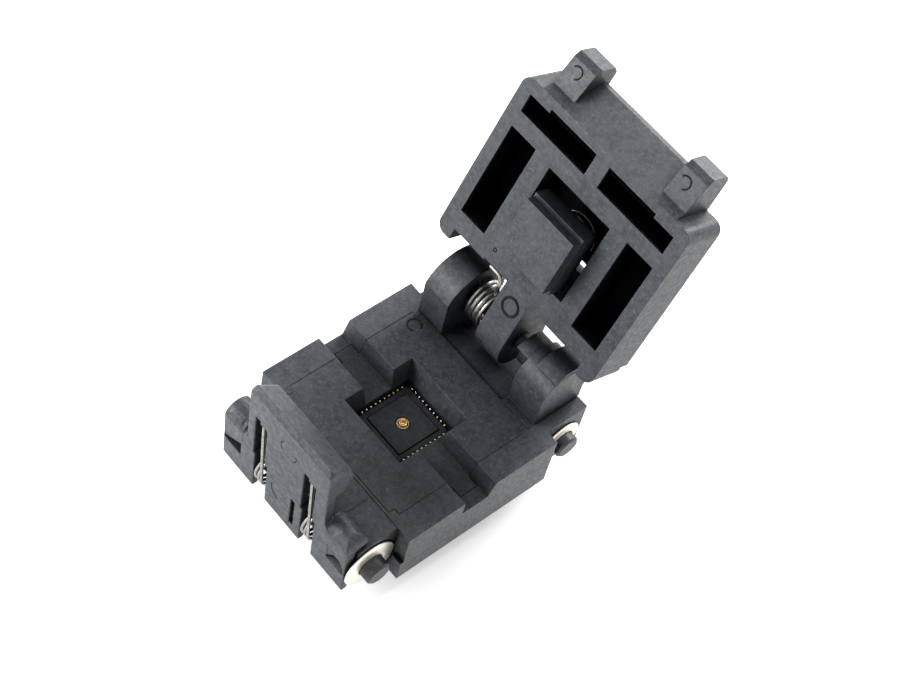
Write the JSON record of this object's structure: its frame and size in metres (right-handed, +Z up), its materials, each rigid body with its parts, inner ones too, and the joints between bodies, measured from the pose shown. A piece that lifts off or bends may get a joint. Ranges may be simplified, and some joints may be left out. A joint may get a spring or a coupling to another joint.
{
  "type": "clamshell test socket",
  "caption": "Clamshell test socket for a small square leadless chip, with a sprung lid, a pressure pad and a front latch, shown open.",
  "frame": {"origin": "centre of the contact pattern on the circuit board's top face", "axes": "+X to the right with the latch in front, +Y from the latch to the hinge, +Z up, away from the board"},
  "size_m": [0.02, 0.0358, 0.0354],
  "materials": {
    "housing": "moulded, fine glass-fibre fleck",
    "insert": "moulded, mottled",
    "spring_wire": "bright drawn wire",
    "contact_gold": "gold plated",
    "pin_steel": "dark blackened steel",
    "washer": "bright"
  },
  "bodies": {
    "socket": {"base_housing": "housing", "contact_nest": "insert", "package_rest": "insert", "contacts_front": "contact_gold", "contacts_rear": "contact_gold", "contacts_left": "contact_gold", "contacts_right": "contact_gold", "contact_retainer": "insert", "centre_pin_sleeve": "contact_gold", "centre_pin_spring": "spring_wire", "latch_pin": "pin_steel", "latch_pin_washer": "washer", "latch_spring_left": "spring_wire", "latch_spring_right": "spring_wire", "hinge_block": "housing", "rear_pin": "pin_steel", "rear_pin_washer": "washer", "hinge_pin": "pin_steel", "lid_spring": "spring_wire"},
    "latch_lever": {"latch": "housing"},
    "cover": {"lid": "housing", "pad_spring": "spring_wire"},
    "pad": {"pressure_pad": "housing", "pad_ring": "washer"},
    "crown": {"centre_pin_crown": "contact_gold"}
  },
  "joints": [
    {"name": "lid_hinge", "type": "hinge", "parent": "socket", "child": "cover", "pos_m": [0, 0.0113, 0.0099], "axis": [1, 0, 0], "range_deg": [0, 112.7], "stiffness_Nm_per_rad": 0.004, "springref_deg": -34.38, "deforming": ["lid_spring"]},
    {"name": "latch_pivot", "type": "hinge", "parent": "socket", "child": "latch_lever", "pos_m": [0, -0.0105, 0.00367], "axis": [1, 0, 0], "range_deg": [0, 14], "stiffness_Nm_per_rad": 0.004, "springref_deg": -20.05, "deforming": ["latch_spring_left", "latch_spring_right"]},
    {"name": "pad_slide", "type": "slide", "parent": "cover", "child": "pad", "axis": [0, 0.9225, -0.3859], "range_m": [0, 0.001], "stiffness_N_per_m": 100, "springref_m": -0.0008, "deforming": ["pad_spring"]},
    {"name": "centre_pin_press", "type": "slide", "parent": "socket", "child": "crown", "axis": [0, 0, -1], "range_m": [0, 0.00035], "stiffness_N_per_m": 30, "springref_m": -0.0003, "deforming": ["centre_pin_spring"]}
  ]
}
